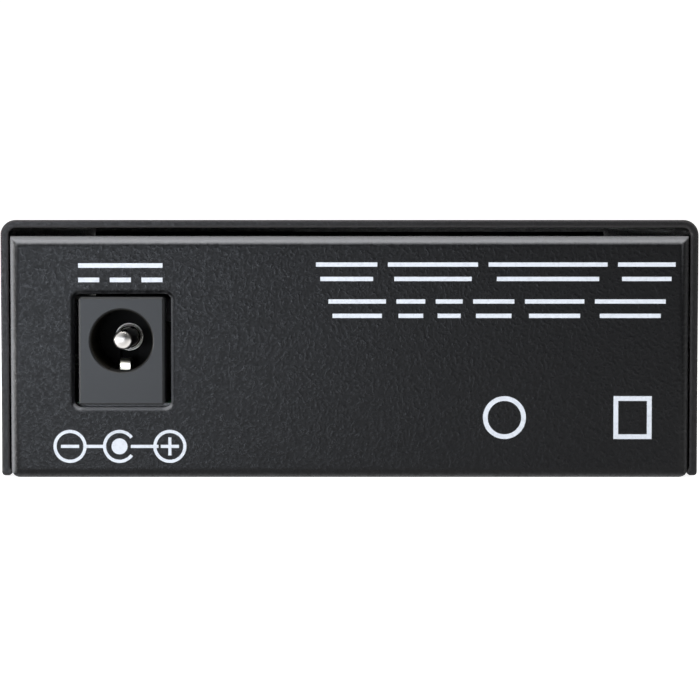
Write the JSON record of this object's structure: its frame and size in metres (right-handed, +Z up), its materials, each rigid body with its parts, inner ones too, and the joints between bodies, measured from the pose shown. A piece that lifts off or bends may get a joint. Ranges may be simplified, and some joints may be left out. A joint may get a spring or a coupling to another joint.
{
  "type": "fibre media converter",
  "caption": "Palm-sized steel box that joins a copper network port to a pair of fibre ports, with a barrel power jack at the back and a slide-lever switch and lights at the front.",
  "frame": {"origin": "middle of the underside of the case, halfway along its depth and width", "axes": "+Z up, -Y out of the rear panel with the power jack, +Y out of the front panel with the ports"},
  "size_m": [0.073, 0.097, 0.027],
  "materials": {
    "case_steel": "black powder coat with a fine wrinkle, matt",
    "dark_screw": "black zinc plate",
    "zinc_steel": "bright zinc plate",
    "board_green": "glass-fibre board with green solder mask",
    "black_plastic": "moulded, fine matt",
    "nickel": "bright nickel plate",
    "tinned_sheet": "tin plate",
    "gold_wire": "gold flash",
    "blue_plastic": "moulded, satin",
    "dark_module": "moulded, satin",
    "barrel_metal": "turned, nickel plate",
    "white_plastic": "moulded",
    "clear_plastic": "clear moulding",
    "led_body": "white base, clear window",
    "ferrite": "sintered ferrite",
    "aluminium_can": "drawn can"
  },
  "bodies": {
    "case": {"base_tray": "case_steel", "top_cover": "case_steel", "cover_screws": "dark_screw", "board_standoffs": "zinc_steel", "board_screws": "zinc_steel", "circuit_board": "board_green", "jack_housing": "black_plastic", "rj45_housing": "black_plastic", "dip_switch_housing": "black_plastic", "converter_chip": "black_plastic", "isolation_transformer": "black_plastic", "memory_chip": "black_plastic", "power_regulator": "black_plastic", "jack_centre_pin": "nickel", "jack_spring_contact": "nickel", "jack_switch_contact": "nickel", "rj45_shield": "tinned_sheet", "crystal": "tinned_sheet", "dip_terminals": "tinned_sheet", "fibre_module_pins": "tinned_sheet", "rj45_contact_1": "gold_wire", "rj45_contact_2": "gold_wire", "rj45_contact_3": "gold_wire", "rj45_contact_4": "gold_wire", "rj45_contact_5": "gold_wire", "rj45_contact_6": "gold_wire", "rj45_contact_7": "gold_wire", "rj45_contact_8": "gold_wire", "fibre_receptacle": "blue_plastic", "fibre_module_housing": "dark_module", "transmit_barrel": "barrel_metal", "receive_barrel": "barrel_metal", "light_guide": "clear_plastic", "status_led_1": "led_body", "status_led_2": "led_body", "status_led_3": "led_body", "status_led_4": "led_body", "status_led_5": "led_body", "status_led_6": "led_body", "power_inductor": "ferrite", "smoothing_capacitor": "aluminium_can"},
    "switch_lever_1": {"dip_lever_1": "white_plastic"},
    "switch_lever_2": {"dip_lever_2": "white_plastic"},
    "switch_lever_3": {"dip_lever_3": "white_plastic"},
    "switch_lever_4": {"dip_lever_4": "white_plastic"}
  },
  "joints": [
    {"name": "switch_1_slide", "type": "slide", "parent": "case", "child": "switch_lever_1", "axis": [0, 0, 1], "range_m": [0, 0.0014]},
    {"name": "switch_2_slide", "type": "slide", "parent": "case", "child": "switch_lever_2", "axis": [0, 0, 1], "range_m": [0, 0.0014]},
    {"name": "switch_3_slide", "type": "slide", "parent": "case", "child": "switch_lever_3", "axis": [0, 0, 1], "range_m": [0, 0.0014]},
    {"name": "switch_4_slide", "type": "slide", "parent": "case", "child": "switch_lever_4", "axis": [0, 0, 1], "range_m": [0, 0.0014]}
  ]
}
